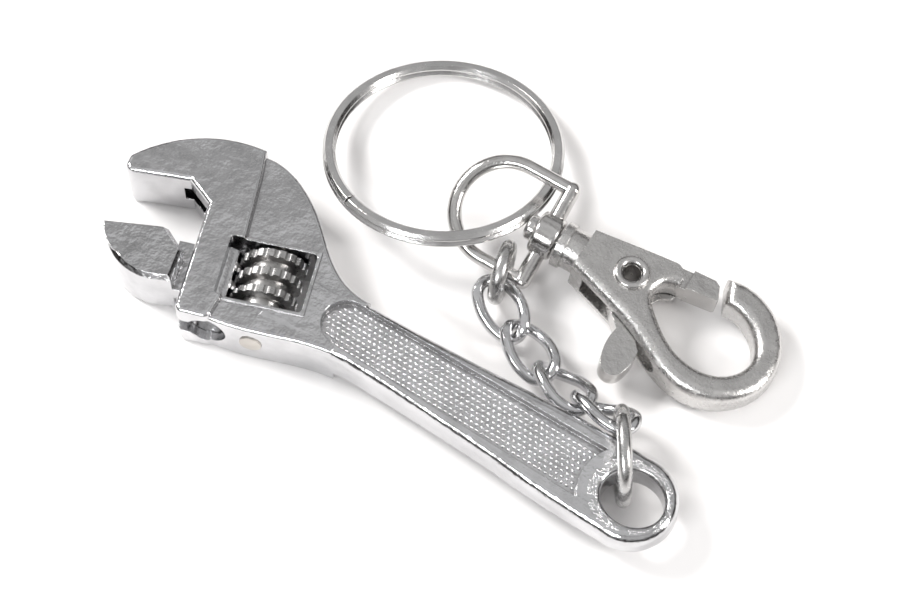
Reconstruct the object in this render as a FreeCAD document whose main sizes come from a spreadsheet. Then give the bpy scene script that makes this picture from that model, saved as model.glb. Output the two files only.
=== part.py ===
import FreeCAD, Part
import math
import os

import Sketcher
from FreeCAD import Placement, Rotation, Vector

# A key-ring adjustable wrench with its curb chain, swivel trigger clasp and split ring.
# Millimetres. The origin is on the wrench's underside, below the centre of the knurl window, on the
# line of the handle; +X runs along the handle to the eye and +Z is up.

os.makedirs("parts", exist_ok=True)
doc = FreeCAD.newDocument("key_ring_wrench")

# ---------------------------------------------------------------- driving dimensions

DIMENSIONS = {
    # head and handle
    "slide_angle": -70.0, "web_top": 5.95, "head_top": 6.6,
    "neck_bottom": 0.7, "neck_top": 5.95, "eye_bottom": 1.85, "eye_top": 5.25,
    "neck_place": 8.0, "eye_place": 43.55, "handle_edge": 1.1, "head_edge": 0.45, "corner_round": 0.8,
    "window_long": 9.1, "window_wide": 6.85, "window_corner": 0.5,
    "rim_width": 0.35, "rim_proud": 0.22,
    "eye_half_long": 3.25, "eye_half_wide": 2.9, "eye_edge": 0.5, "panel_depth": 0.9,
    # jaw guide
    "track_face": -7.95, "rod_offset": -4.75, "rod_radius": 1.95, "channel_radius": 2.05,
    "guide_slot": 2.1, "slot_floor": -11.3, "guide_web": 1.9, "rod_start": -2.6, "rod_end": 5.3,
    "jaw_bottom": 0.1, "jaw_thickness": 6.4, "jaw_bevel": 0.45,
    # knurl
    "thread_pitch": 2.1, "knurl_radius": 3.4, "knurl_root": 2.45, "knurl_axis_height": 3.45,
    "thread_start": -3.15, "thread_end": 2.35, "hub_radius": 2.15, "hub_end": 3.2,
    "crest_width": 0.8, "thread_foot": 1.2, "flute_radius": 0.34, "flute_count": 18,
    "pin_radius": 0.8, "pin_bore": 0.88, "pin_head_radius": 1.15, "pin_head_start": 4.6,
    "pin_inner_end": -6.2, "pin_outer_end": 6.75,
    "tooth_phase": 0.35, "mesh_radius": 3.1, "tooth_root_gap": 0.15, "tooth_tip_gap": 0.3,
    "rack_notch_tip": 1.55, "rack_notch_root": 1.15,
    # chain and jump rings
    "link_half_long": 3.4, "link_half_wide": 2.0, "link_wire": 0.62, "link_twist": 35.0,
    "link_flat": 1.1, "eye_ring_radius": 4.4, "eye_ring_wire": 0.725,
    "upper_ring_radius": 2.65, "upper_ring_wire": 0.8, "ring_gap": 0.12,
    # swivel and clasp
    "clasp_angle": 4.0, "clasp_pitch": 6.0, "clasp_height": 4.7, "eye_roll": 24.0,
    "barrel_radius": 2.3, "barrel_half": 1.3, "barrel_gap": 0.12, "eye_wire": 0.75, "eye_half": 5.3,
    "eye_centre": 4.9, "eye_bar": 0.87, "eye_knob": 0.88, "post_radius": 0.9, "post_head": 1.35,
    "post_head_long": 0.9, "post_reach": 4.0, "collar_radius": 2.45, "collar_long": 0.9,
    "neck_radius": 2.2, "neck_start": 1.55, "neck_end": 4.2, "clasp_thickness": 5.2,
    "slot_gap": 2.5, "slot_start": 5.6, "slot_end": 15.6, "lever_thickness": 2.2,
    "rivet_radius": 1.25, "rivet_hole": 0.93, "rivet_flange": 1.9, "flange_height": 0.45,
    "hook_edge": 1.0, "gate_thickness": 3.0, "spring_seat_radius": 1.9, "spring_radius": 1.6,
    "spring_wire": 0.14, "spring_pitch": 0.36, "spring_turns": 2.0, "spring_lift": 0.05,
    # play between a pin and the part that turns on it
    "running_gap": 0.08,
    # split ring
    "ring_outer": 12.7, "ring_section": 1.35, "ring_turn": 0.8, "ring_tilt": 9.6, "ring_lean": 5.0,
    "ring_round": 0.32, "ring_step": 0.24, "ring_step_turn": 160.0, "ring_step_apart": 24.0,
}

sheet = doc.addObject("Spreadsheet::Sheet", "dims")
for row, (alias, value) in enumerate(DIMENSIONS.items(), start=1):
    sheet.set(f"A{row}", alias)
    sheet.set(f"B{row}", str(value))
    sheet.setAlias(f"B{row}", alias)
doc.recompute()


def dim(alias):
    """A driving dimension, read back from the sheet."""
    return float(sheet.get(alias))


HEAD_TURN = Rotation(Vector(0, 0, 1), dim("slide_angle"))
HEAD_FRAME = Placement(Vector(), HEAD_TURN)


def from_head(along, across, height=0.0):
    """A point given along the slide and across it, in the wrench's own frame."""
    return HEAD_TURN.multVec(Vector(along, across, height))


# ---------------------------------------------------------------- small builders

def bind(item, **expressions):
    """Tie properties of a document object to cells of the sheet."""
    for prop, expression in expressions.items():
        item.setExpression(prop, expression)
    return item


def new_body(name, placement=None):
    body = doc.addObject("PartDesign::Body", name)
    if placement is not None:
        body.Placement = placement
    return body


def sketch_in(body, name, role="XY_Plane", offset=None):
    """A sketch on one of the body's own origin planes."""
    plane = [item for item in body.Origin.OriginFeatures if item.Role == role][0]
    sketch = body.newObject("Sketcher::SketchObject", name)
    sketch.AttachmentSupport = [(plane, "")]
    sketch.MapMode = "FlatFace"
    if offset is not None:
        sketch.AttachmentOffset = offset
    return sketch


def outline(sketch, start, steps):
    """Draws a closed outline: a step is an end point, a middle and an end point for an arc, or
    three and more points for a smooth curve."""
    here = Vector(*start, 0)
    for step in steps:
        if len(step) == 2:
            there = Vector(*step, 0)
            sketch.addGeometry(Part.LineSegment(here, there), False)
        elif len(step) > 4:
            points = [here] + [Vector(x, y, 0) for x, y in zip(step[::2], step[1::2])]
            curve = Part.BSplineCurve()
            curve.interpolate(points)
            sketch.addGeometry(curve, False)
            there = points[-1]
        else:
            there = Vector(step[2], step[3], 0)
            middle = Vector(step[0], step[1], 0)
            sketch.addGeometry(Part.Arc(here, middle, there), False)
        here = there
    return sketch


def circle(sketch, centre, alias):
    """A circle whose radius is a cell of the sheet."""
    shape = Part.Circle(Vector(*centre, 0), Vector(0, 0, 1), dim(alias))
    index = sketch.addGeometry(shape, False)
    rule = sketch.addConstraint(Sketcher.Constraint("Radius", index, dim(alias)))
    sketch.setExpression(f"Constraints[{rule}]", f"dims.{alias}")
    return sketch


def settle(feature):
    """Recomputes, and stops at a feature that failed."""
    doc.recompute()
    if feature.Shape.isNull() or not feature.Shape.isValid() or "Invalid" in feature.State:
        raise RuntimeError(f"{feature.Name} failed: {feature.State}")
    return feature


def pad(body, sketch, length, midplane=False):
    feature = body.newObject("PartDesign::Pad", f"{sketch.Name}_pad")
    feature.Profile = sketch
    feature.setExpression("Length", length)
    feature.Midplane = midplane
    return settle(feature)


def pocket(body, sketch, length=None, midplane=False, upward=False):
    """Cuts a sketch out of the body, and stops if nothing was cut."""
    before = body.Shape.Volume
    feature = body.newObject("PartDesign::Pocket", f"{sketch.Name}_pocket")
    feature.Profile = sketch
    if length is None:
        feature.Type = 1
    else:
        feature.setExpression("Length", length)
    feature.Midplane = midplane
    feature.Reversed = upward
    settle(feature)
    if body.Shape.Volume > before - 1e-4:
        raise RuntimeError(f"{sketch.Name} cuts nothing")
    return feature


def round_edges(body, name, radius, wanted, kind="PartDesign::Fillet"):
    """Rounds or chamfers the edges of the body's tip that a test picks."""
    base = body.Tip
    names = [f"Edge{i}" for i, edge in enumerate(base.Shape.Edges, start=1) if wanted(edge)]
    if not names:
        raise RuntimeError(f"{name} finds no edge")
    feature = body.newObject(kind, name)
    feature.Base = (base, names)
    feature.setExpression("Radius" if kind.endswith("Fillet") else "Size", radius)
    return settle(feature)


def cylinder(name, radius, start, end, axis, through):
    """A Part cylinder with a bound radius, from start to end along an axis through a point."""
    item = doc.addObject("Part::Cylinder", name)
    bind(item, Radius=radius)
    item.Height = end - start
    direction = Vector(*axis).normalize()
    turn = Rotation(Vector(0, 0, 1), direction)
    item.Placement = Placement(Vector(*through) + direction * start, turn)
    return item


def box(name, low, high, placement=None):
    item = doc.addObject("Part::Box", name)
    item.Length = high[0] - low[0]
    item.Width = high[1] - low[1]
    item.Height = high[2] - low[2]
    item.Placement = (placement or Placement()).multiply(Placement(Vector(*low), Rotation()))
    return item


def fuse(name, *items):
    item = doc.addObject("Part::MultiFuse", name)
    item.Shapes = list(items)
    item.Refine = True
    settle(item)
    if item.Shape.Volume < max(part.Shape.Volume for part in items):
        raise RuntimeError(f"{name} lost material")
    return item


def cut(name, base, *tools):
    item = doc.addObject("Part::Cut", name)
    item.Base = base
    item.Tool = tools[0] if len(tools) == 1 else fuse(f"{name}_tools", *tools)
    settle(item)
    if item.Shape.Volume > base.Shape.Volume - 1e-4:
        raise RuntimeError(f"{name} cuts nothing")
    return item


def is_flat_at(edge, height):
    extent = edge.BoundBox
    return abs(extent.ZMin - height) < 1e-3 and abs(extent.ZMax - height) < 1e-3


# ---------------------------------------------------------------- wrench body

def handle_blank(body):
    """The handle: a plan outline, thinned towards the eye, with rounded edges."""
    plan = sketch_in(body, "handle_plan")
    outline(plan, (2.0, 3.0), [
        (12.0, 3.3), (21.0, 3.75, 30.0, 4.4), (36.0, 4.75, 42.5, 4.75),
        (48.15, 0.0, 42.5, -4.75), (36.0, -4.65, 30.0, -4.2), (21.0, -3.8, 12.0, -3.6),
        (2.0, -4.6), (2.0, 3.0)])
    pad(body, plan, "dims.head_top")
    side = sketch_in(body, "handle_taper", "XZ_Plane")
    near, far = dim("neck_place"), 50.0
    slope_top, slope_low = handle_slopes()
    for level, slope, edge in ((dim("neck_top"), slope_top, 8.0), (dim("neck_bottom"), slope_low, -2.0)):
        back = level - slope * near
        front = level + slope * (far - near)
        outline(side, (0.0, back), [(far, front), (far, edge), (0.0, edge), (0.0, back)])
    pocket(body, side, midplane=True)
    long_edges = lambda edge: edge.Length > 2.0 and edge.BoundBox.XMax > 9.0 and (
        edge.BoundBox.ZMax - edge.BoundBox.ZMin < 1.0)
    round_edges(body, "handle_rounding", "dims.handle_edge", long_edges)


def make_plateau():
    """Fixed jaw and track: the thick, flat part of the head."""
    body = new_body("plateau")
    corner = from_head(6.25, dim("track_face"))
    throat = from_head(-6.5, dim("track_face"))
    face_end = from_head(-8.7, -10.5)
    plan = sketch_in(body, "plateau_plan")
    outline(plan, (corner.x, corner.y), [
        (throat.x, throat.y), (face_end.x, face_end.y), (-19.35, 1.75), (-19.8, 3.6),
        (-14.9, 9.4, -8.3, 11.85), (-7.0, 9.3), (-4.2, 2.7), (-2.2, -4.6), (-1.9, -7.45),
        (corner.x, corner.y)])
    pad(body, plan, "dims.head_top")
    upright = lambda edge: edge.BoundBox.ZLength > 5.0 and (
        edge.BoundBox.XMax < -19.0 or (edge.BoundBox.XMin > -7.5 and abs(edge.BoundBox.YMax) < 10))
    round_edges(body, "plateau_corners", "dims.corner_round", upright)
    rims = lambda edge: is_flat_at(edge, 0.0) or is_flat_at(edge, dim("head_top"))
    round_edges(body, "plateau_rims", "dims.head_edge", rims)
    return body


def make_web():
    """The lower, smooth part of the head round the window, running into the handle."""
    body = new_body("web")
    plan = sketch_in(body, "web_plan")
    outline(plan, (-9.6, 11.0), [
        (-6.6, 11.6, -3.0, 10.65, 1.2, 7.95, 5.0, 4.85, 10.5, 3.3), (10.5, -3.7),
        (5.0, -5.2, 1.8, -6.35, -1.5, -7.2, -4.0, -7.6), (-6.0, -5.0), (-9.6, 11.0)])
    pad(body, plan, "dims.web_top")
    rims = lambda edge: (is_flat_at(edge, 0.0) or is_flat_at(edge, dim("web_top"))) and (
        edge.BoundBox.XMax > -2.5 and edge.Length > 2.0)
    round_edges(body, "web_rims", "dims.head_edge", rims)
    return body


def make_panel(name, level, slope, upward):
    """Cutter for one sunk panel: its floor is a plane that follows the handle's slope."""
    fall = math.degrees(math.atan(slope))
    floor = Placement(Vector(0, 0, level - slope * dim("neck_place")), Rotation(Vector(0, 1, 0), -fall))
    body = new_body(name)
    plan = sketch_in(body, f"{name}_plan", offset=floor)
    outline(plan, (9.9, 2.55), [
        (21.0, 2.75, 38.9, 3.0), (37.9, 0.0, 38.9, -3.0), (21.0, -2.75, 9.9, -2.55),
        (7.2, 0.0, 9.9, 2.55)])
    feature = pad(body, plan, "dims.head_top")
    if not upward:
        feature.Reversed = True
        settle(feature)
    return body


def handle_slopes():
    """Rise per millimetre along the handle, of its upper and its lower side."""
    run = dim("eye_place") - dim("neck_place")
    return (dim("eye_top") - dim("neck_top")) / run, (dim("eye_bottom") - dim("neck_bottom")) / run


def make_wrench_body():
    body = new_body("handle")
    handle_blank(body)
    upper_slope, lower_slope = handle_slopes()
    upper_panel = make_panel("upper_panel", dim("neck_top") - dim("panel_depth"), upper_slope, True)
    lower_panel = make_panel("lower_panel", dim("neck_bottom") + dim("panel_depth"), lower_slope, False)
    eye = sketch_in(body, "eye_plan")
    a, b = dim("eye_half_long"), dim("eye_half_wide")
    centre = dim("eye_place")
    eye.addGeometry(Part.Ellipse(Vector(centre, 0, 0), a, b), False)
    pocket(body, eye, midplane=True)
    rim = lambda edge: (abs(edge.BoundBox.XMin - centre + a) < 0.05
                        and abs(edge.BoundBox.XMax - centre - a) < 0.05)
    round_edges(body, "eye_rounding", "dims.eye_edge", rim)

    half_n, half_s = dim("window_long") / 2, dim("window_wide") / 2
    rim_width, rim_top = dim("rim_width"), dim("web_top") + dim("rim_proud")
    rim_block = box("window_rim", (-half_s - rim_width, -half_n - rim_width, 1.0),
                    (half_s + rim_width, half_n + rim_width, rim_top), HEAD_FRAME)
    blank = fuse("wrench_with_web", body, make_web())
    blank = fuse("wrench_with_jaw", blank, make_plateau())
    blank = fuse("wrench_with_rim", blank, rim_block)
    window = new_body("window_cutter", HEAD_FRAME)
    window_plan = sketch_in(window, "window_plan")
    outline(window_plan, (-half_s, -half_n), [
        (half_s, -half_n), (half_s, half_n), (-half_s, half_n), (-half_s, -half_n)])
    pad(window, window_plan, "dims.head_top * 4", midplane=True)
    round_edges(window, "window_corners", "dims.window_corner",
                lambda edge: edge.BoundBox.ZMax - edge.BoundBox.ZMin > 5.0)
    height = dim("knurl_axis_height")
    slide_row = HEAD_TURN.multVec(Vector(1, 0, 0))
    channel_line = from_head(0, dim("rod_offset"), height)
    channel = cylinder("channel", "dims.channel_radius", -12.0, 9.0, slide_row, channel_line)
    half_slot = dim("guide_slot") / 2
    slot = box("guide_slot", (-12.0, dim("slot_floor"), height - half_slot),
               (9.0, dim("rod_offset"), height + half_slot), HEAD_FRAME)
    pin_line = from_head(0, 0, height)
    pin_bore = cylinder("pin_bore_cut", "dims.pin_radius", dim("pin_inner_end"), 8.0, slide_row, pin_line)
    head_bore = cylinder("pin_head_cut", "dims.pin_head_radius", dim("pin_head_start"), 8.0, slide_row,
                         pin_line)
    return cut("wrench_body", blank, window, channel, slot, pin_bore, head_bore, upper_panel, lower_panel)


# ---------------------------------------------------------------- moving jaw

def make_moving_jaw():
    """Jaw, guide web and round rod with the rack that the knurl drives, in the slide's frame."""
    body = new_body("jaw_block", HEAD_FRAME)
    base = Placement(Vector(0, 0, dim("jaw_bottom")), Rotation())
    plan = sketch_in(body, "jaw_plan", offset=base)
    outline(plan, (-2.0, -17.7), [
        (-2.75, -11.1), (-0.63, -8.95), (3.0, -9.2), (3.2, -11.4),
        (2.3, -14.6, 0.3, -16.6), (-0.7, -17.3, -2.0, -17.7)])
    pad(body, plan, "dims.jaw_thickness")
    low, high = dim("jaw_bottom"), dim("jaw_bottom") + dim("jaw_thickness")
    inner = lambda edge: (is_flat_at(edge, low) or is_flat_at(edge, high)) and edge.BoundBox.YMin > -11.5
    round_edges(body, "jaw_bevels", "dims.jaw_bevel", inner, "PartDesign::Chamfer")
    height = dim("knurl_axis_height")
    half_web = dim("guide_web") / 2
    web = box("jaw_web", (dim("rod_start"), -10.0, height - half_web),
              (3.0, dim("rod_offset"), height + half_web), HEAD_FRAME)
    slide_row = HEAD_TURN.multVec(Vector(1, 0, 0))
    rod = cylinder("jaw_rod", "dims.rod_radius", dim("rod_start"), dim("rod_end"), slide_row,
                   from_head(0, dim("rod_offset"), height))
    solid = fuse("jaw_solid", body, web, rod)
    pitch = dim("thread_pitch")
    lead = math.degrees(math.atan(pitch / (2 * math.pi * dim("mesh_radius"))))
    cutter = new_body("rack_cutter", HEAD_FRAME)
    tilt = Placement(Vector(0, 0, height), Rotation(Vector(0, 1, 0), -lead))
    teeth = sketch_in(cutter, "rack_plan", offset=tilt)
    tip_line = dim("rod_offset") + dim("rod_radius") + dim("tooth_tip_gap")
    root_line = -dim("knurl_radius") - dim("tooth_root_gap")
    tip_half, root_half = dim("rack_notch_tip") / 2, dim("rack_notch_root") / 2
    for k in range(-1, 3):
        place = k * pitch + dim("tooth_phase")
        outline(teeth, (place - tip_half, tip_line), [
            (place + tip_half, tip_line), (place + root_half, root_line), (place - root_half, root_line),
            (place - tip_half, tip_line)])
    pad(cutter, teeth, "dims.head_top * 2", midplane=True)
    return cut("moving_jaw", solid, cutter)


# ---------------------------------------------------------------- knurl and its pin

def knurl_frame():
    """Local Z along the slide, local X across it towards the handle."""
    turn = HEAD_TURN.multiply(Rotation(Vector(0, 1, 0), Vector(0, 0, 1), Vector(1, 0, 0), "ZXY"))
    return Placement(from_head(0, 0, dim("knurl_axis_height")), turn)


def make_knurl():
    """Worm with a right-handed thread, fluted crests, a hub at its lower end and a bore."""
    body = new_body("knurl_blank")
    core = sketch_in(body, "knurl_core", offset=Placement(Vector(0, 0, dim("thread_start")), Rotation()))
    circle(core, (0, 0), "knurl_root")
    pad(body, core, "dims.thread_end - dims.thread_start")
    hub = sketch_in(body, "knurl_hub", offset=Placement(Vector(0, 0, dim("thread_start")), Rotation()))
    circle(hub, (0, 0), "hub_radius")
    pad(body, hub, "dims.hub_end - dims.thread_start")
    pitch = dim("thread_pitch")
    foot, crest = dim("thread_foot") / 2, dim("crest_width") / 2
    inner, outer = dim("knurl_root") - 0.1, dim("knurl_radius")
    profile = sketch_in(body, "thread_profile", "XZ_Plane")
    first_crest = dim("tooth_phase") + pitch / 2
    turns_below = math.ceil((first_crest - dim("thread_start")) / pitch) + 1
    start = first_crest - turns_below * pitch
    outline(profile, (inner, start - foot), [
        (outer, start - crest), (outer, start + crest), (inner, start + foot), (inner, start - foot)])
    thread = body.newObject("PartDesign::AdditiveHelix", "thread")
    thread.Profile = profile
    thread.ReferenceAxis = (profile, ["V_Axis"])
    thread.Mode = 0
    thread.setExpression("Pitch", "dims.thread_pitch")
    thread.Height = dim("thread_end") - start + pitch
    thread.LeftHanded = False
    settle(thread)
    axis, origin = (0, 0, 1), (0, 0, 0)
    sleeve = cylinder("knurl_sleeve", "dims.knurl_radius", dim("thread_start"), dim("thread_end"),
                      axis, origin)
    hub_sleeve = cylinder("knurl_hub_sleeve", "dims.hub_radius", dim("thread_start"), dim("hub_end"),
                          axis, origin)
    limits = fuse("knurl_limits", sleeve, hub_sleeve)
    trimmed = doc.addObject("Part::Common", "knurl_trimmed")
    trimmed.Base, trimmed.Tool = body, limits
    settle(trimmed)
    flutes = []
    count = int(dim("flute_count"))
    for k in range(count):
        angle = 2 * math.pi * k / count
        reach = dim("knurl_radius") + dim("flute_radius") * 0.35
        place = (reach * math.cos(angle), reach * math.sin(angle), 0)
        flutes.append(cylinder(f"flute_{k}", "dims.flute_radius", -3.5, 3.5, axis, place))
    bore = cylinder("knurl_bore", "dims.pin_bore", -4.0, 4.0, axis, origin)
    knurl = cut("adjusting_knurl", trimmed, bore, *flutes)
    knurl.Placement = knurl_frame()
    return knurl


def make_knurl_pin():
    """Headed pin on the knurl's axis, pressed in from the lower end of the head."""
    slide_row = HEAD_TURN.multVec(Vector(1, 0, 0))
    line = from_head(0, 0, dim("knurl_axis_height"))
    shank = cylinder("pin_shank", "dims.pin_radius", dim("pin_inner_end"), dim("pin_outer_end"),
                     slide_row, line)
    head = cylinder("pin_head", "dims.pin_head_radius", dim("pin_head_start"), dim("pin_outer_end"),
                    slide_row, line)
    return fuse("knurl_pin", shank, head)


# ---------------------------------------------------------------- chain and rings

def arc_of_wire(start, heading, end, radius):
    """One bent piece of round wire that leaves start along heading and arrives at end."""
    chord = end - start
    axis = heading.cross(chord)
    face = Part.Face(Part.Wire(Part.makeCircle(radius, start, heading)))
    if axis.Length < 1e-6:
        return face.extrude(chord)
    axis.normalize()
    inward = axis.cross(heading)
    bend = chord.Length ** 2 / (2 * chord.dot(inward))
    turn = 2 * math.degrees(heading.getAngle(chord))
    return face.revolve(start + inward * bend, axis, turn)


def two_arcs(start, leaving, end, arriving, radius):
    """Two tangent arcs of wire that join two points with given directions."""
    gap = end - start
    both = leaving + arriving
    lean = 2 * (1 - leaving.dot(arriving))
    reach = (-gap.dot(both) + math.sqrt(gap.dot(both) ** 2 + lean * gap.dot(gap))) / lean
    first = start + leaving * reach
    last = end - arriving * reach
    middle = (first + last) * 0.5
    heading = (last - first).normalize()
    return [arc_of_wire(start, leaving, middle, radius), arc_of_wire(middle, heading, end, radius)]


def link_shape():
    """A twisted oval of wire, cut flat above and below."""
    a, b = dim("link_half_long"), dim("link_half_wide")
    twist, radius = math.radians(dim("link_twist")), dim("link_wire")
    ends = Vector(0, math.cos(twist), math.sin(twist))
    other_ends = Vector(0, math.cos(twist), -math.sin(twist))
    side = Vector(-a, 0, -b * twist).normalize()
    other_side = Vector(a, 0, -b * twist).normalize()
    corners = [(Vector(a, 0, 0), ends), (Vector(0, b, 0), side), (Vector(-a, 0, 0), other_ends * -1),
               (Vector(0, -b, 0), other_side)]
    pieces = []
    for (start, leaving), (end, arriving) in zip(corners, corners[1:] + corners[:1]):
        pieces += two_arcs(start, leaving, end, arriving, radius)
    ring = pieces[0].multiFuse(pieces[1:]).removeSplitter()
    flat = dim("link_flat")
    slab = Part.makeBox(20, 20, 2 * flat, Vector(-10, -10, -flat))
    return ring.common(slab)


# Each link: centre, heading in plan, rise along its length and roll about it, in degrees.
LINKS = {
    "chain_link_1": ((36.17, 6.83, 3.94), -1.7, 13.3, -48.8),
    "chain_link_2": ((30.99, 7.45, 2.86), -15.5, 10.3, -26.6),
    "chain_link_3": ((25.92, 9.13, 2.43), -24.7, -1.3, -3.9),
    "chain_link_4": ((21.06, 11.39, 2.84), -27.1, -8.5, 17.0),
}


def make_links():
    shape = link_shape()
    made_links = []
    for name, (centre, heading, rise, roll) in LINKS.items():
        link = doc.addObject("Part::Feature", name)
        link.Shape = shape
        turn = Rotation(Vector(0, 0, 1), heading).multiply(Rotation(Vector(0, 1, 0), -rise))
        link.Placement = Placement(Vector(*centre), turn.multiply(Rotation(Vector(1, 0, 0), roll)))
        made_links.append(link)
    return made_links


# Each jump ring: centre, heading and lean of its plane, and where round it the wire's ends meet.
EYE_RING = ((40.36, 3.23, 5.15), 124.2, -0.7, 62.0)
UPPER_RING = ((18.95, 14.64, 3.48), -73.1, -2.1, 150.0)


def jump_ring(prefix, place):
    """A bent wire ring standing on edge, with a hairline gap where its ends meet."""
    centre, heading, lean, joint_angle = place
    ring = doc.addObject("Part::Torus", f"{prefix}_ring_coil")
    bind(ring, Radius1=f"dims.{prefix}_ring_radius", Radius2=f"dims.{prefix}_ring_wire")
    half_gap, reach = dim("ring_gap") / 2, 9.0
    gap = box(f"{prefix}_ring_gap", (0.0, -half_gap, -reach), (reach, half_gap, reach),
              Placement(Vector(), Rotation(Vector(0, 0, 1), joint_angle)))
    ring = cut(f"{prefix}_jump_ring", ring, gap)
    stand = Rotation(Vector(0, 0, 1), heading).multiply(Rotation(Vector(1, 0, 0), 90 + lean))
    ring.Placement = Placement(Vector(*centre), stand)
    return ring


def spin(body, profile, name):
    """Turns a section round its sketch's upright axis."""
    turned = body.newObject("PartDesign::Revolution", name)
    turned.Profile = profile
    turned.ReferenceAxis = (profile, ["V_Axis"])
    turned.Angle = 360
    return settle(turned)


def make_split_ring():
    """Two turns of flat wire, with the steps where its ends lie."""
    outer, section, turn = dim("ring_outer"), dim("ring_section"), dim("ring_turn")
    inner, rounding, overlap = outer - section, dim("ring_round"), 0.01
    body = new_body("ring_turns")
    for name, low, high in (("lower_turn", -turn, overlap), ("upper_turn", -overlap, turn)):
        profile = sketch_in(body, f"{name}_section", "XZ_Plane")
        outline(profile, (inner + rounding, low), [
            (outer - rounding, low), (outer, low + rounding), (outer, high - rounding),
            (outer - rounding, high), (inner + rounding, high), (inner, high - rounding),
            (inner, low + rounding), (inner + rounding, low)])
        spin(body, profile, name)
    half_step, reach = dim("ring_step") / 2, 1.0
    upper_end = box("upper_end", (-half_step, inner - reach, 0.0), (half_step, outer + reach, turn + reach))
    lower_end = box("lower_end", (-half_step, inner - reach, -turn - reach), (half_step, outer + reach, 0.0),
                    Placement(Vector(), Rotation(Vector(0, 0, 1), dim("ring_step_apart"))))
    ring = cut("split_ring", body, upper_end, lower_end)
    tilt = Rotation(Vector(1, 0, 0), -dim("ring_tilt")).multiply(
        Rotation(Vector(0, 1, 0), -dim("ring_lean")))
    tilt = tilt.multiply(Rotation(Vector(0, 0, 1), dim("ring_step_turn")))
    ring.Placement = Placement(SPLIT_CENTRE, tilt)
    return ring


# ---------------------------------------------------------------- swivel and clasp

BARREL_PLACE = Vector(20.8, 20.2, dim("clasp_height"))
SPLIT_CENTRE = Vector(5.9, 23.45, 3.29)
CLASP_TURN = Rotation(Vector(0, 0, 1), dim("clasp_angle")).multiply(
    Rotation(Vector(0, 1, 0), dim("clasp_pitch")))
CLASP_FRAME = Placement(BARREL_PLACE, CLASP_TURN)
ROLLED_FRAME = Placement(BARREL_PLACE, CLASP_TURN.multiply(Rotation(Vector(1, 0, 0), dim("eye_roll"))))
ALONG = (1, 0, 0)
RIVET = (9.7, -0.37)


def make_swivel_eye():
    """D-shaped eye and the barrel that turns on the post."""
    half, centre = dim("eye_half"), dim("eye_centre")
    barrel = new_body("barrel")
    round_plan = sketch_in(barrel, "barrel_section", "YZ_Plane")
    circle(round_plan, (0, 0), "barrel_radius")
    pad(barrel, round_plan, "dims.barrel_half * 2", midplane=True)
    round_edges(barrel, "barrel_rims", "dims.head_edge", lambda edge: edge.BoundBox.XLength < 0.01)
    bar = cylinder("eye_bar", "dims.eye_bar", -half, half, (0, 1, 0), (0, 0, 0))
    pieces = [barrel, bar]
    for side, name in ((1, "upper"), (-1, "lower")):
        knob = doc.addObject("Part::Sphere", f"{name}_knob")
        bind(knob, Radius="dims.eye_knob")
        knob.Placement = Placement(Vector(0, side * half, 0), Rotation())
        arm = cylinder(f"{name}_arm", "dims.eye_wire", -centre, 0.0, ALONG, (0, side * half, 0))
        pieces += [knob, arm]
    bow = doc.addObject("Part::Torus", "eye_bow")
    bind(bow, Radius1="dims.eye_half", Radius2="dims.eye_wire")
    bow.Angle3 = 180
    bow.Placement = Placement(Vector(-centre, 0, 0), Rotation(Vector(0, 0, 1), 90))
    blank = fuse("eye_blank", *pieces, bow)
    bore = cylinder("barrel_bore", "dims.post_radius + dims.running_gap", -3.0, 3.0, ALONG, (0, 0, 0))
    eye = cut("swivel_eye", blank, bore)
    eye.Placement = ROLLED_FRAME
    return eye


def make_swivel_post():
    """Headed stud that the barrel turns on."""
    gap = dim("barrel_half") + dim("barrel_gap")
    inner_end = -gap - dim("post_head_long") / 2
    shank = cylinder("post_shank", "dims.post_radius", inner_end, dim("post_reach"), ALONG, (0, 0, 0))
    head = new_body("post_head_blank")
    section = sketch_in(head, "post_head_section", "YZ_Plane",
                        Placement(Vector(0, 0, -gap - dim("post_head_long")), Rotation()))
    circle(section, (0, 0), "post_head")
    pad(head, section, "dims.post_head_long")
    outer_face = -gap - dim("post_head_long")
    round_edges(head, "post_dome", "dims.head_edge",
                lambda edge: edge.BoundBox.XMax < outer_face + 0.01)
    post = fuse("swivel_post", shank, head)
    post.Placement = CLASP_FRAME
    return post


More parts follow.
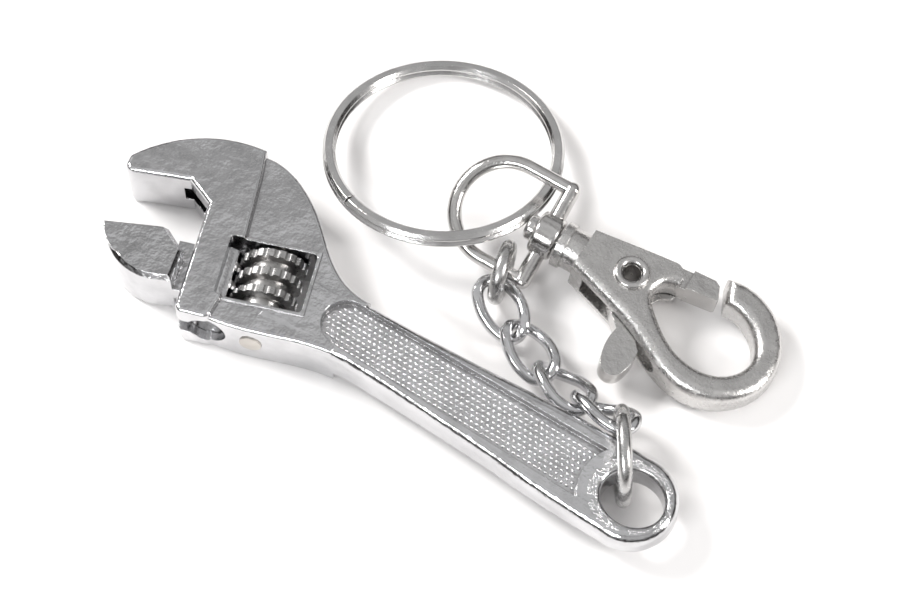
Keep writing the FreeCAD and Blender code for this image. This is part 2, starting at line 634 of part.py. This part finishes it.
def make_clasp_body():
    """Neck, two plates with a slot for the lever, and the hook, in one casting."""
    body = new_body("clasp_casting")
    plan = sketch_in(body, "clasp_plan")
    outline(plan, (4.1, -2.6), [
        (10.0, -4.6),
        (14.2, -6.5, 18.4, -8.35, 23.6, -7.7, 26.9, -3.9, 26.6, 0.9, 23.6, 4.3, 20.2, 5.2, 18.3, 4.8),
        (19.35, 2.2),
        (22.8, 1.1, 24.45, -1.8, 23.1, -4.6, 19.9, -5.75, 16.6, -4.95, 13.9, -2.9, 12.6, -1.0, 12.9, 0.1,
         14.1, 1.0),
        (14.4, 2.1, 12.8, 3.1), (4.3, 1.95), (4.1, -2.6)])
    pad(body, plan, "dims.clasp_thickness", midplane=True)
    side = sketch_in(body, "clasp_taper", "XZ_Plane")
    half = dim("clasp_thickness") / 2
    for sign in (1, -1):
        outline(side, (11.5, sign * half), [
            (28.0, sign * (half - 0.95)), (28.0, sign * 5), (11.5, sign * 5), (11.5, sign * half)])
    pocket(body, side, midplane=True)
    rims = lambda edge: edge.BoundBox.XMax > 14.5 and edge.BoundBox.ZLength < 1.2 and edge.Length > 2.2
    round_edges(body, "hook_rounding", "dims.hook_edge", rims)
    slot = sketch_in(body, "lever_slot", "XZ_Plane")
    gap = dim("slot_gap") / 2
    outline(slot, (dim("slot_start"), -gap), [
        (dim("slot_end"), -gap), (dim("slot_end") + gap * 0.6, 0.0, dim("slot_end"), gap),
        (dim("slot_start"), gap), (dim("slot_start"), -gap)])
    pocket(body, slot, midplane=True)
    neck = cylinder("clasp_neck", "dims.neck_radius", dim("neck_start"), dim("neck_end") + 0.6, ALONG,
                    (0, 0, 0))
    collar = cylinder("clasp_collar", "dims.collar_radius", dim("neck_start"),
                      dim("neck_start") + dim("collar_long"), ALONG, (0, 0, 0))
    blank = fuse("clasp_blank", body, neck, collar)
    post_bore = cylinder("clasp_post_bore", "dims.post_radius", 0.0, dim("post_reach"), ALONG, (0, 0, 0))
    rivet_bore = cylinder("clasp_rivet_bore", "dims.rivet_radius", -5.0, 5.0, (0, 0, 1), (*RIVET, 0))
    clasp = cut("clasp_body", blank, post_bore, rivet_bore)
    clasp.Placement = CLASP_FRAME
    return clasp


def make_trigger_lever():
    """Thumb tab, hub and gate in one flat piece, the gate thicker outside the slot."""
    body = new_body("lever_blank")
    plan = sketch_in(body, "lever_plan")
    outline(plan, (13.2, 3.55), [
        (17.3, 4.0), (17.95, 3.65), (18.5, 2.3), (18.3, 2.1), (14.6, 1.6), (12.4, 0.6, 11.9, -1.6),
        (12.4, -4.4, 14.15, -7.0), (14.2, -8.6, 13.8, -10.0), (12.6, -10.75, 11.3, -9.7),
        (10.9, -7.6, 11.1, -5.9), (9.0, -3.6, 7.35, -0.8), (8.6, 2.1, 13.2, 3.55)])
    pad(body, plan, "dims.lever_thickness", midplane=True)
    gate = sketch_in(body, "gate_plan")
    outline(gate, (15.0, 3.85), [
        (17.3, 4.0), (17.95, 3.65), (18.5, 2.3), (18.3, 2.1), (15.0, 1.65), (15.0, 3.85)])
    pad(body, gate, "dims.gate_thickness", midplane=True)
    bore = cylinder("lever_bore", "dims.rivet_radius + dims.running_gap", -5.0, 5.0, (0, 0, 1), (*RIVET, 0))
    seat = cylinder("spring_seat", "dims.spring_seat_radius", -3.0, 0.1, (0, 0, 1), (*RIVET, 0))
    lever = cut("trigger_lever", body, bore, seat)
    lever.Placement = CLASP_FRAME
    return lever


def make_pivot_rivet():
    """Hollow rivet, rolled over on both faces of the clasp."""
    reach = dim("clasp_thickness") / 2
    top = reach + dim("flange_height")
    up = (0, 0, 1)
    place = (*RIVET, 0)
    shank = cylinder("rivet_shank", "dims.rivet_radius", -reach, reach, up, place)
    flange = new_body("rivet_flanges")
    section = sketch_in(flange, "flange_section", "XZ_Plane")
    hole, wide, high = dim("rivet_hole"), dim("rivet_flange"), dim("flange_height")
    for sign in (1, -1):
        outline(section, (hole + 0.05, sign * reach), [
            (wide, sign * reach), (wide - 0.1, sign * (reach + high * 0.8), wide - 0.6, sign * top),
            (hole + 0.25, sign * (top - 0.05), hole + 0.05, sign * reach)])
    spin(flange, section, "rivet_roll")
    flange.Placement = Placement(Vector(*place), Rotation())
    blank = fuse("rivet_blank", shank, flange)
    hole_cut = cylinder("rivet_hole_cut", "dims.rivet_hole", -5.0, 5.0, up, place)
    rivet = cut("pivot_rivet", blank, hole_cut)
    rivet.Placement = CLASP_FRAME
    return rivet


def make_trigger_spring():
    """Torsion spring round the rivet, in the seat below the lever's hub."""
    helix = doc.addObject("Part::Helix", "spring_path")
    bind(helix, Radius="dims.spring_radius", Pitch="dims.spring_pitch",
         Height="dims.spring_pitch * dims.spring_turns")
    section = doc.addObject("Part::Circle", "spring_section")
    bind(section, Radius="dims.spring_wire")
    section.Placement = Placement(Vector(dim("spring_radius"), 0, 0), Rotation(Vector(1, 0, 0), 90))
    spring = doc.addObject("Part::Sweep", "trigger_spring")
    doc.recompute()
    spring.Sections = [section]
    spring.Spine = (helix, [f"Edge{i}" for i in range(1, len(helix.Shape.Edges) + 1)])
    spring.Solid = True
    spring.Frenet = True
    settle(spring)
    low = -dim("slot_gap") / 2 + dim("spring_wire") + dim("spring_lift")
    spring.Placement = CLASP_FRAME.multiply(Placement(Vector(*RIVET, low), Rotation()))
    return spring


# ---------------------------------------------------------------- everything together

made = [
    make_wrench_body(), make_moving_jaw(), make_knurl(), make_knurl_pin(),
    jump_ring("eye", EYE_RING),
    *make_links(),
    jump_ring("upper", UPPER_RING),
    make_swivel_eye(), make_swivel_post(), make_clasp_body(), make_trigger_lever(), make_pivot_rivet(),
    make_trigger_spring(), make_split_ring(),
]
doc.recompute()
for item in doc.Objects:
    if any(state in ("Invalid", "Error") for state in item.State):
        raise RuntimeError(f"{item.Name} is {item.State}")
for item in made:
    item.Label = item.Name
    if item.Shape.isNull() or not item.Shape.isValid():
        raise RuntimeError(f"{item.Label} has no valid shape")
for item in made:
    item.Shape.exportStep(f"parts/{item.Label}.step")
    extent = item.Shape.BoundBox
    print(item.Label, len(item.Shape.Solids), round(item.Shape.Volume, 2), extent)
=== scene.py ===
import math
import random

import bmesh
import bpy
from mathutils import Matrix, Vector


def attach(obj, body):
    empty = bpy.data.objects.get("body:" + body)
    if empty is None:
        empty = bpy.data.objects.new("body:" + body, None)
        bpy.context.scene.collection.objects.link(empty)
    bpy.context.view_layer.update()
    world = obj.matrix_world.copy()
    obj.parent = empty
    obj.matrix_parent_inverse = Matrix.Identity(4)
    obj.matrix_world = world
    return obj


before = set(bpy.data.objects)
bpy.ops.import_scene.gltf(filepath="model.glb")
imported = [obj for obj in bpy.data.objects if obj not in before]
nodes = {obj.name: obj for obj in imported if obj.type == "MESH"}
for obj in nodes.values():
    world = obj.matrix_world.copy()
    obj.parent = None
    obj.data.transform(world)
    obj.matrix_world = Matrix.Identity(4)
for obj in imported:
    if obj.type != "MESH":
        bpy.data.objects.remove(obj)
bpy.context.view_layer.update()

# Key-ring adjustable wrench, with its chain, clasp and split ring. Metres; MM is one millimetre.
MM = 0.001
SEED = 7
random.seed(SEED)


# ---------------------------------------------------------------- materials

class Shader:
    """A node material under construction, with object coordinates in millimetres."""

    def __init__(self, name):
        self.material = bpy.data.materials.new(name)
        self.material.use_nodes = True
        self.tree = self.material.node_tree
        self.bsdf = self.tree.nodes["Principled BSDF"]
        place = self.add("ShaderNodeTexCoord")
        scale = self.add("ShaderNodeMapping")
        scale.inputs["Scale"].default_value = (1 / MM, 1 / MM, 1 / MM)
        self.link(place.outputs["Object"], scale.inputs["Vector"])
        self.coordinates = scale.outputs["Vector"]

    def add(self, kind, **settings):
        node = self.tree.nodes.new(kind)
        for key, value in settings.items():
            setattr(node, key, value)
        return node

    def link(self, source, target):
        self.tree.links.new(source, target)

    def stretched(self, turn, stretch):
        """The coordinates turned about Z and stretched, for marks that run one way."""
        mapping = self.add("ShaderNodeMapping")
        mapping.inputs["Rotation"].default_value = turn
        mapping.inputs["Scale"].default_value = stretch
        self.link(self.coordinates, mapping.inputs["Vector"])
        return mapping.outputs["Vector"]

    def noise(self, scale, detail=3.0, roughness=0.5, vector=None):
        node = self.add("ShaderNodeTexNoise")
        node.inputs["Scale"].default_value = scale
        node.inputs["Detail"].default_value = detail
        node.inputs["Roughness"].default_value = roughness
        self.link(vector or self.coordinates, node.inputs["Vector"])
        return node.outputs["Fac"]

    def cells(self, scale, feature="F1"):
        node = self.add("ShaderNodeTexVoronoi", feature=feature)
        node.inputs["Scale"].default_value = scale
        self.link(self.coordinates, node.inputs["Vector"])
        return node.outputs["Distance"]

    def span(self, source, low, high, start=0.0, end=1.0):
        """Remaps a value from low..high to start..end, held at the ends."""
        node = self.add("ShaderNodeMapRange")
        node.inputs["From Min"].default_value = low
        node.inputs["From Max"].default_value = high
        node.inputs["To Min"].default_value = start
        node.inputs["To Max"].default_value = end
        self.link(source, node.inputs["Value"])
        return node.outputs["Result"]

    def blend(self, factor, first, second):
        node = self.add("ShaderNodeMix", data_type="RGBA")
        for socket, value in (("A", first), ("B", second)):
            slot = [item for item in node.inputs if item.name == socket and item.type == "RGBA"][0]
            if isinstance(value, tuple):
                slot.default_value = (*value, 1.0)
            else:
                self.link(value, slot)
        self.link(factor, node.inputs["Factor"])
        return [item for item in node.outputs if item.type == "RGBA"][0]

    def math(self, operation, first, second):
        node = self.add("ShaderNodeMath", operation=operation)
        for socket, value in zip(node.inputs, (first, second)):
            if isinstance(value, (int, float)):
                socket.default_value = value
            else:
                self.link(value, socket)
        return node.outputs["Value"]

    def crevices(self, distance):
        """Painted shade of corners, from 0 in the open to 1 deep inside."""
        node = self.add("ShaderNodeAmbientOcclusion", samples=6, only_local=True)
        node.inputs["Distance"].default_value = distance
        deep, open_air = 0.25, 0.85
        return self.span(node.outputs["AO"], deep, open_air, 1.0, 0.0)

    def bump(self, layers, edge=0.12):
        """Chains height layers, (source, height in mm), over softened edges."""
        soft = self.add("ShaderNodeBevel", samples=4)
        soft.inputs["Radius"].default_value = edge * MM
        normal = soft.outputs["Normal"]
        for source, height in layers:
            node = self.add("ShaderNodeBump")
            node.inputs["Strength"].default_value = 1.0
            node.inputs["Distance"].default_value = height * MM
            self.link(source, node.inputs["Height"])
            self.link(normal, node.inputs["Normal"])
            normal = node.outputs["Normal"]
        self.link(normal, self.bsdf.inputs["Normal"])


CLOUD_SHADE = 0.86
CREVICE_REACH = 1.2 * MM
SCRATCH_STRETCH = (0.6, 26.0, 26.0)
SCRATCH_ROUGHNESS = 0.10
SCRATCH_HEIGHT = 0.0012


def plated_metal(name, tint, dark, roughness, layers, shade_strength=0.35, turn=0.0, edge=0.12):
    """Plated metal: tone and polish that wander, fine scratches, painted shade in its corners."""
    shader = Shader(name)
    tone = shader.span(shader.noise(0.35, 4.0), 0.35, 0.65)
    colour = shader.blend(tone, tint, tuple(channel * CLOUD_SHADE for channel in tint))
    # Painted shade: corners found by ambient occlusion are darkened towards the dark brown.
    corners = shader.math("MULTIPLY", shader.crevices(CREVICE_REACH), shade_strength)
    colour = shader.blend(corners, colour, dark)
    shader.link(colour, shader.bsdf.inputs["Base Color"])
    shader.bsdf.inputs["Metallic"].default_value = 1.0
    low, high = roughness
    cloud = shader.span(shader.noise(1.1, 5.0, 0.6), 0.3, 0.7, low, high)
    lines = shader.noise(1.0, 2.0, 0.5, shader.stretched((0, 0, turn), SCRATCH_STRETCH))
    hair = shader.span(lines, 0.62, 0.74, 0.0, SCRATCH_ROUGHNESS)
    shader.link(shader.math("ADD", cloud, hair), shader.bsdf.inputs["Roughness"])
    heights = [(lines, SCRATCH_HEIGHT)]
    for kind, scale, height in layers:
        source = shader.noise(scale, 4.0, 0.6) if kind == "noise" else shader.cells(scale)
        heights.append((source, height))
    shader.bump(heights, edge)
    return shader.material


CHROME = (0.66, 0.66, 0.67)
NICKEL = (0.64, 0.63, 0.62)
STEEL = (0.56, 0.555, 0.55)
RING_NICKEL = (0.64, 0.635, 0.63)
PIN_STEEL = (0.60, 0.57, 0.53)
# Painted highlight: a lighter chrome than the wrench's own, so its cast dots glint.
DOT_GLINT_CHROME = (0.84, 0.84, 0.85)
# Dark brown of the painted shade in every metal's corners.
PAINTED_SHADE_BROWN = (0.075, 0.058, 0.050)

materials = {
    "wrench_body": plated_metal("wrench_chrome", CHROME, PAINTED_SHADE_BROWN, (0.10, 0.20),
                                [("noise", 0.22, 0.18), ("noise", 1.0, 0.035),
                                 ("noise", 3.2, 0.016)], 0.45, 0.1),
    "moving_jaw": plated_metal("jaw_chrome", CHROME, PAINTED_SHADE_BROWN, (0.09, 0.18),
                               [("noise", 0.25, 0.20), ("noise", 3.0, 0.012)], 0.4, 1.2),
    "adjusting_knurl": plated_metal("knurl_steel", STEEL, PAINTED_SHADE_BROWN, (0.22, 0.36),
                                    [("noise", 2.5, 0.02)], 0.75, 0.4, 0.06),
    "knurl_pin": plated_metal("pin_steel", PIN_STEEL, PAINTED_SHADE_BROWN, (0.35, 0.5),
                              [("noise", 5.0, 0.012)], 0.4),
    "eye_jump_ring": plated_metal("eye_ring_steel", STEEL, PAINTED_SHADE_BROWN, (0.20, 0.32),
                                  [("noise", 1.2, 0.02), ("noise", 7.0, 0.004)], 0.5, 0.9),
    "upper_jump_ring": plated_metal("upper_ring_steel", STEEL, PAINTED_SHADE_BROWN, (0.20, 0.32),
                                    [("noise", 1.2, 0.02), ("noise", 7.0, 0.004)], 0.5, 2.1),
    "swivel_eye": plated_metal("swivel_nickel", NICKEL, PAINTED_SHADE_BROWN, (0.12, 0.24),
                               [("noise", 0.8, 0.05), ("noise", 5.0, 0.010)], 0.45, 0.2),
    "swivel_post": plated_metal("post_nickel", NICKEL, PAINTED_SHADE_BROWN, (0.14, 0.24),
                                [("noise", 2.0, 0.02)], 0.5),
    "clasp_body": plated_metal("clasp_nickel", NICKEL, PAINTED_SHADE_BROWN, (0.20, 0.34),
                               [("noise", 0.5, 0.05), ("noise", 5.5, 0.026), ("cells", 3.4, 0.014)],
                               0.45, 0.15),
    "trigger_lever": plated_metal("lever_nickel", NICKEL, PAINTED_SHADE_BROWN, (0.14, 0.28),
                                  [("noise", 0.7, 0.05), ("noise", 5.5, 0.012)], 0.5, 1.4),
    "pivot_rivet": plated_metal("rivet_nickel", NICKEL, PAINTED_SHADE_BROWN, (0.16, 0.28),
                                [("noise", 3.0, 0.012)], 0.7),
    "trigger_spring": plated_metal("spring_steel", STEEL, PAINTED_SHADE_BROWN, (0.3, 0.4),
                                   [("noise", 8.0, 0.003)], 0.4, 0.0, 0.03),
    "split_ring": plated_metal("split_ring_nickel", RING_NICKEL, PAINTED_SHADE_BROWN, (0.14, 0.24),
                               [("noise", 0.5, 0.05), ("noise", 4.0, 0.006)], 0.55, 0.5),
}
for index in range(1, 5):
    materials[f"chain_link_{index}"] = plated_metal(
        f"link_chrome_{index}", CHROME, PAINTED_SHADE_BROWN, (0.08, 0.18),
        [("noise", 1.4, 0.03), ("noise", 6.0, 0.004)], 0.55, 0.6 * index, 0.08)

for name, piece in nodes.items():
    piece.data.materials.clear()
    piece.data.materials.append(materials[name])
    for face in piece.data.polygons:
        face.use_smooth = True


# ---------------------------------------------------------------- cast detail on the wrench

RAY_START = 20 * MM


def hit_height(x, y, upward):
    """Height of the wrench's surface above or below a point, with its normal's rise."""
    start = Vector((x, y, -RAY_START if upward else RAY_START))
    direction = Vector((0, 0, 1 if upward else -1))
    found, place, normal, _ = nodes["wrench_body"].ray_cast(start, direction)
    return (place.z, abs(normal.z)) if found else (None, 0.0)


def add_dome(mesh, centre, radius, height, side, segments=10):
    """A low round dot whose foot sinks a little into the surface."""
    foot = []
    rings = ((1.0, -0.3), (0.86, 0.45), (0.5, 0.86))
    for spread, rise in rings:
        loop = []
        for k in range(segments):
            angle = 2 * math.pi * k / segments
            loop.append(mesh.verts.new((centre[0] + radius * spread * math.cos(angle),
                                        centre[1] + radius * spread * math.sin(angle),
                                        centre[2] + side * height * rise)))
        foot.append(loop)
    tip = mesh.verts.new((centre[0], centre[1], centre[2] + side * height))
    for lower, upper in zip(foot, foot[1:]):
        for k in range(segments):
            mesh.faces.new((lower[k], lower[(k + 1) % segments], upper[(k + 1) % segments], upper[k]))
    for k in range(segments):
        mesh.faces.new((foot[-1][k], foot[-1][(k + 1) % segments], tip))


def dots_piece(name, places, side, radius, height, material):
    mesh = bmesh.new()
    for x, y, z in places:
        add_dome(mesh, (x, y, z), radius, height, side)
    bmesh.ops.recalc_face_normals(mesh, faces=mesh.faces)
    data = bpy.data.meshes.new(name)
    mesh.to_mesh(data)
    mesh.free()
    for face in data.polygons:
        face.use_smooth = True
    piece = bpy.data.objects.new(name, data)
    bpy.context.scene.collection.objects.link(piece)
    data.materials.append(material)
    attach(piece, "wrench")


# Metres, except FIRST_DOT and ROW_SHIFT here and the EYE_ sizes below, which are millimetres.
DOT_PITCH, ROW_GAP, ROW_SHIFT = 0.62 * MM, 0.54 * MM, 0.31
FIRST_DOT, LAST_DOT = 7.0, 39.5 * MM
HALF_ROWS, COLUMNS = 5, 70
DOT_ROOM, ROOM_FALL, FLAT_ENOUGH = 0.3 * MM, 0.04 * MM, 0.99
# Heights between which each sunk panel's floor lies, from the eye's end to the head's.
UPPER_FLOOR = (4.0 * MM, 5.25 * MM)
LOWER_FLOOR = (1.3 * MM, 3.0 * MM)


def panel_places(upward):
    """Rows of dots, staggered, on the floor of the handle's sunk panel."""
    low, high = LOWER_FLOOR if upward else UPPER_FLOOR
    steps = ((0, 0), (DOT_ROOM, 0), (-DOT_ROOM, 0), (0, DOT_ROOM), (0, -DOT_ROOM))
    places = []
    for row in range(-HALF_ROWS, HALF_ROWS + 1):
        y = row * ROW_GAP
        for column in range(COLUMNS):
            x = (FIRST_DOT + ROW_SHIFT * (row % 2)) * MM + column * DOT_PITCH
            around = [hit_height(x + dx, y + dy, upward) for dx, dy in steps]
            levels = [level for level, _ in around if level is not None]
            if len(levels) < len(steps) or max(levels) - min(levels) > ROOM_FALL:
                continue
            flat = all(rise > FLAT_ENOUGH for _, rise in around)
            middle = around[0][0]
            if flat and low < middle < high and x < LAST_DOT:
                places.append((x, y, middle))
    return places


STIPPLE_COUNT = 240
STIPPLE_INNER, STIPPLE_OUTER = 1.10, 1.36
EYE_CENTRE, EYE_LONG, EYE_WIDE = 43.55, 3.3, 3.0
STIPPLE_FLAT, STIPPLE_HALF_WIDTH = 0.985, 4.0 * MM


def eye_places(upward):
    """Fine stipple, scattered at random round the wrench's eye."""
    places = []
    while len(places) < STIPPLE_COUNT:
        angle, reach = random.uniform(0, 2 * math.pi), random.uniform(STIPPLE_INNER, STIPPLE_OUTER)
        x = (EYE_CENTRE + EYE_LONG * reach * math.cos(angle)) * MM
        y = EYE_WIDE * reach * math.sin(angle) * MM
        level, rise = hit_height(x, y, upward)
        if level is not None and rise > STIPPLE_FLAT and abs(y) < STIPPLE_HALF_WIDTH:
            places.append((x, y, level))
    return places


DOT_RADIUS, DOT_HEIGHT = 0.20 * MM, 0.14 * MM
STIPPLE_RADIUS, STIPPLE_HEIGHT = 0.13 * MM, 0.05 * MM

# Painted highlight: the cast dots and stipple get a lighter chrome than the wrench they stand on.
glinting_dot_metal = plated_metal("dot_glint_chrome", DOT_GLINT_CHROME, PAINTED_SHADE_BROWN, (0.12, 0.2), [("noise", 6.0, 0.004)],
                         0.3, 0.3, 0.02)
dots_piece("panel_dots_upper", panel_places(False), 1, DOT_RADIUS, DOT_HEIGHT, glinting_dot_metal)
dots_piece("panel_dots_lower", panel_places(True), -1, DOT_RADIUS, DOT_HEIGHT, glinting_dot_metal)
dots_piece("eye_stipple_upper", eye_places(False), 1, STIPPLE_RADIUS, STIPPLE_HEIGHT, glinting_dot_metal)
dots_piece("eye_stipple_lower", eye_places(True), -1, STIPPLE_RADIUS, STIPPLE_HEIGHT, glinting_dot_metal)


# ---------------------------------------------------------------- floor, light and camera

def make_floor():
    data = bpy.data.meshes.new("floor")
    reach, level = 1.5, -0.02 * MM
    data.from_pydata([(-reach, -reach, level), (reach, -reach, level), (reach, reach, level),
                      (-reach, reach, level)], [], [(0, 1, 2, 3)])
    floor = bpy.data.objects.new("floor", data)
    bpy.context.scene.collection.objects.link(floor)
    shader = Shader("floor_paper")
    tone = shader.span(shader.noise(0.02, 3.0), 0.3, 0.7)
    paper = shader.blend(tone, (0.94, 0.925, 0.92), (0.955, 0.942, 0.938))
    shader.link(paper, shader.bsdf.inputs["Base Color"])
    shader.bsdf.inputs["Roughness"].default_value = 0.9
    shader.bsdf.inputs["Specular IOR Level"].default_value = 0.1
    data.materials.append(shader.material)


SKY_WANDER, SKY_SPAN, SKY_STRENGTH = 0.34, 0.8, 0.36


def make_sky():
    """What the metal reflects: pale low down, a dark brown band, then a bright, banded ceiling."""
    world = bpy.data.worlds.new("studio")
    world.use_nodes = True
    bpy.context.scene.world = world
    tree = world.node_tree
    place = tree.nodes.new("ShaderNodeTexCoord")
    split = tree.nodes.new("ShaderNodeSeparateXYZ")
    tree.links.new(place.outputs["Generated"], split.inputs["Vector"])
    wander = tree.nodes.new("ShaderNodeTexNoise")
    wander.inputs["Scale"].default_value = 2.2
    wander.inputs["Detail"].default_value = 2.0
    tree.links.new(place.outputs["Generated"], wander.inputs["Vector"])
    shift = tree.nodes.new("ShaderNodeMath")
    shift.operation = "MULTIPLY_ADD"
    shift.inputs[1].default_value = SKY_WANDER
    tree.links.new(wander.outputs["Fac"], shift.inputs[0])
    tree.links.new(split.outputs["Z"], shift.inputs[2])
    ramp = tree.nodes.new("ShaderNodeValToRGB")
    stops = [(0.0, (0.9, 0.88, 0.86)), (0.14, (0.75, 0.72, 0.70)), (0.19, (0.05, 0.035, 0.03)),
             (0.34, (0.03, 0.022, 0.02)), (0.40, (0.55, 0.54, 0.54)), (0.54, (1.5, 1.49, 1.49)),
             (0.72, (1.7, 1.7, 1.7)), (0.81, (0.75, 0.74, 0.73)), (0.87, (2.1, 2.1, 2.1)),
             (1.0, (1.5, 1.5, 1.5))]
    while len(ramp.color_ramp.elements) < len(stops):
        ramp.color_ramp.elements.new(0.5)
    for element, (position, colour) in zip(ramp.color_ramp.elements, stops):
        element.position = position
        element.color = (*colour, 1.0)
    shrink = tree.nodes.new("ShaderNodeMath")
    shrink.operation = "MULTIPLY"
    shrink.inputs[1].default_value = SKY_SPAN
    tree.links.new(shift.outputs["Value"], shrink.inputs[0])
    tree.links.new(shrink.outputs["Value"], ramp.inputs["Fac"])
    background = tree.nodes["Background"]
    background.inputs["Strength"].default_value = SKY_STRENGTH
    tree.links.new(ramp.outputs["Color"], background.inputs["Color"])


def area_light(name, place, size, power, colour):
    data = bpy.data.lights.new(name, "AREA")
    data.shape = "RECTANGLE"
    data.size, data.size_y = size
    data.energy = power
    data.color = colour
    light = bpy.data.objects.new(name, data)
    light.location = place
    light.rotation_euler = (TARGET - Vector(place)).to_track_quat("-Z", "Y").to_euler()
    bpy.context.scene.collection.objects.link(light)


AZIMUTH, ELEVATION = math.radians(33.6), math.radians(62.0)
TARGET = Vector((16.0, 9.45, 2.5)) * MM
DISTANCE = 265.3 * MM
SENSOR_WIDTH, LENS = 36.0, 104.0

make_floor()
make_sky()
area_light("key", (-0.34, -0.02, 0.36), (0.16, 0.12), 2.0, (1.0, 0.99, 0.98))
area_light("side", (0.40, 0.10, 0.22), (0.08, 0.20), 1.0, (1.0, 0.98, 0.96))
area_light("front", (0.02, -0.40, 0.34), (0.24, 0.08), 1.1, (0.98, 0.99, 1.0))

camera_data = bpy.data.cameras.new("camera")
camera_data.sensor_width = SENSOR_WIDTH
camera_data.lens = LENS
camera_data.clip_start = 0.01
camera = bpy.data.objects.new("camera", camera_data)
bpy.context.scene.collection.objects.link(camera)
forward = Vector((-math.sin(AZIMUTH) * math.cos(ELEVATION), math.cos(AZIMUTH) * math.cos(ELEVATION),
                  -math.sin(ELEVATION)))
camera.location = TARGET - forward * DISTANCE
camera.rotation_euler = forward.to_track_quat("-Z", "Y").to_euler()
bpy.context.scene.camera = camera
bpy.context.scene.view_settings.view_transform = "Standard"
